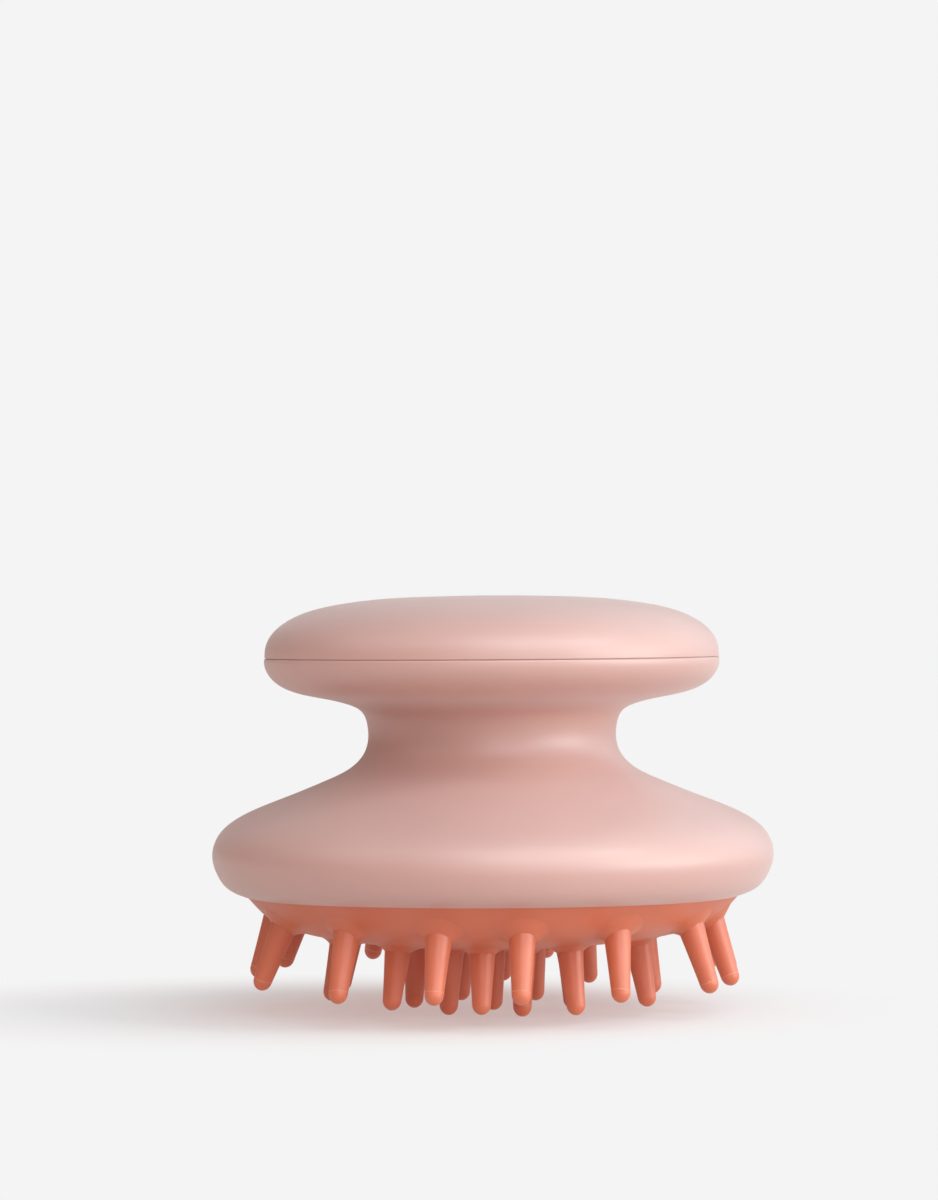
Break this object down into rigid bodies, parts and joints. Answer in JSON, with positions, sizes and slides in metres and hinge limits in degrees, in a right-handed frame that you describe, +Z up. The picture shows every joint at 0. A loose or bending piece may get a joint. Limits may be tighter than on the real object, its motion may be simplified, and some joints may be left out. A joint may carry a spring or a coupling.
{
  "type": "scalp massager brush",
  "caption": "Hand-held scalp massager: a round grip knob on a slim waist above a wide skirt that holds a bowed silicone pad of soft tapered bristles.",
  "frame": {"origin": "on the axis, in the plane of the lowest bristle tip, where the massager stands", "axes": "+Z up along the axis from the bristles to the cap; -Y is the front; +X to the right as seen from the front"},
  "size_m": [0.08, 0.08, 0.0592],
  "materials": {
    "soft_touch_body": "satin soft-touch, dusty pink",
    "coral_silicone": "satin, coral, slightly translucent",
    "carrier_plastic": "moulded, unpainted",
    "seal_rubber": "matte",
    "screw_steel": "zinc plated"
  },
  "bodies": {
    "root": {"grip_cap": "soft_touch_body", "body_shell": "soft_touch_body", "cap_seal": "seal_rubber", "carrier_screws": "screw_steel", "pad_carrier": "carrier_plastic", "brush_pad": "coral_silicone", "bristles_outer_ring": "coral_silicone", "bristles_middle_ring": "coral_silicone", "bristles_inner_ring": "coral_silicone", "bristle_centre": "coral_silicone"}
  },
  "joints": []
}
